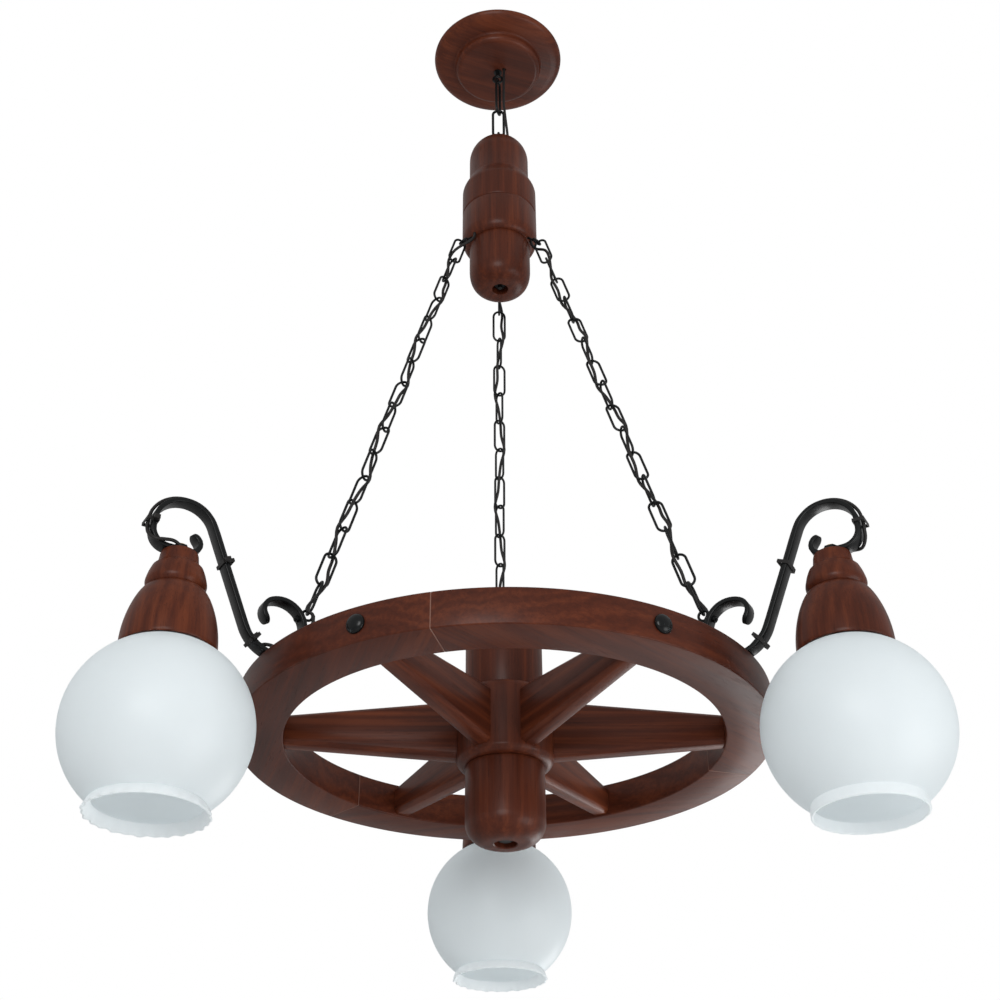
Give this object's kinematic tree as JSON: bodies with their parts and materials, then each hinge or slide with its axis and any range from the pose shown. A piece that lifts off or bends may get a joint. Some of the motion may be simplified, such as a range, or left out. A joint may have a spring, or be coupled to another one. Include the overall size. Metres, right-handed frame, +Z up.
{
  "type": "wagon wheel chandelier",
  "caption": "Wooden wagon-wheel chandelier hung by chains from a turned hub and ceiling rose, with iron scroll arms carrying wooden lamp holders and globe shades.",
  "frame": {"origin": "centre of the ceiling face of the rose", "axes": "+Z up into the ceiling; +Y away from the viewer, towards the rear lamp; +X to the viewer's right"},
  "size_m": [0.7324, 0.6605, 1.0732],
  "materials": {
    "turned_wood": "stained red-brown, satin lacquer",
    "wheel_wood": "stained red-brown, satin lacquer, grain along each felloe",
    "spoke_wood": "stained red-brown, satin lacquer, grain along each spoke",
    "wrought_iron": "black painted iron, slightly uneven, semi-gloss",
    "chain_iron": "black chain wire, satin",
    "bracket_steel": "zinc-plated",
    "brass": "plain",
    "black_cable": "matte sheath",
    "black_plastic": "moulded",
    "white_ceramic": "glazed",
    "opal_glass": "satin opal glass"
  },
  "bodies": {
    "canopy": {"ceiling_bracket": "bracket_steel", "canopy_rose": "turned_wood", "canopy_eye_bolt": "wrought_iron", "canopy_nuts": "bracket_steel", "terminal_block": "white_ceramic", "supply_cable": "black_cable"},
    "upper_link": {"upper_link": "wrought_iron"},
    "lower_link": {"lower_link": "wrought_iron"},
    "gathering_hub": {"hub_crown": "turned_wood", "hub_cup": "turned_wood", "hub_eye_rod": "wrought_iron", "hub_rod_nut": "wrought_iron", "hub_wire_block": "white_ceramic", "hub_screw_eyes": "chain_iron", "chain_left": "chain_iron", "chain_right": "chain_iron", "chain_rear": "chain_iron"},
    "wheel": {"lamp_cable_left": "black_cable", "lamp_cable_right": "black_cable", "lamp_cable_rear": "black_cable", "felloe_1": "wheel_wood", "felloe_2": "wheel_wood", "felloe_3": "wheel_wood", "felloe_dowels": "wheel_wood", "spoke_1": "spoke_wood", "spoke_2": "spoke_wood", "spoke_3": "spoke_wood", "spoke_4": "spoke_wood", "spoke_5": "spoke_wood", "spoke_6": "spoke_wood", "wheel_hub": "turned_wood", "wheel_hub_top": "turned_wood", "wheel_hub_foot": "turned_wood", "wheel_hub_bolt": "wrought_iron", "wheel_hub_nuts": "wrought_iron", "rim_bolts": "wrought_iron", "arm_left": "wrought_iron", "arm_right": "wrought_iron", "arm_rear": "wrought_iron", "arm_screws": "wrought_iron", "arm_eye_bolts": "chain_iron", "arm_eye_nuts": "chain_iron", "cable_ties": "black_cable", "holder_left": "turned_wood", "holder_right": "turned_wood", "holder_rear": "turned_wood", "lamp_nipples": "brass", "nipple_nuts": "wrought_iron", "socket_left": "black_plastic", "socket_right": "black_plastic", "socket_rear": "black_plastic", "lamp_sleeves": "brass", "shade_rings": "black_plastic", "glass_left": "opal_glass", "glass_right": "opal_glass", "glass_rear": "opal_glass"}
  },
  "joints": [
    {"name": "upper_link_swing", "type": "hinge", "parent": "canopy", "child": "upper_link", "pos_m": [0, 0, -0.0418], "axis": [1, 0, 0], "range_deg": [-25, 25], "deforming": ["supply_cable"]},
    {"name": "lower_link_swing", "type": "hinge", "parent": "upper_link", "child": "lower_link", "pos_m": [0, 0, -0.0976], "axis": [0, 1, 0], "range_deg": [-25, 25], "deforming": ["supply_cable"]},
    {"name": "hub_turn", "type": "hinge", "parent": "lower_link", "child": "gathering_hub", "pos_m": [0, 0, -0.1389], "axis": [0, 0, 1], "range_deg": [-30, 30], "deforming": ["supply_cable"]},
    {"name": "wheel_twist", "type": "hinge", "parent": "gathering_hub", "child": "wheel", "pos_m": [0, 0, -0.94643], "axis": [0, 0, 1], "range_deg": [-12, 12], "deforming": ["chain_left", "chain_right", "chain_rear", "lamp_cable_left", "lamp_cable_right", "lamp_cable_rear"]}
  ]
}
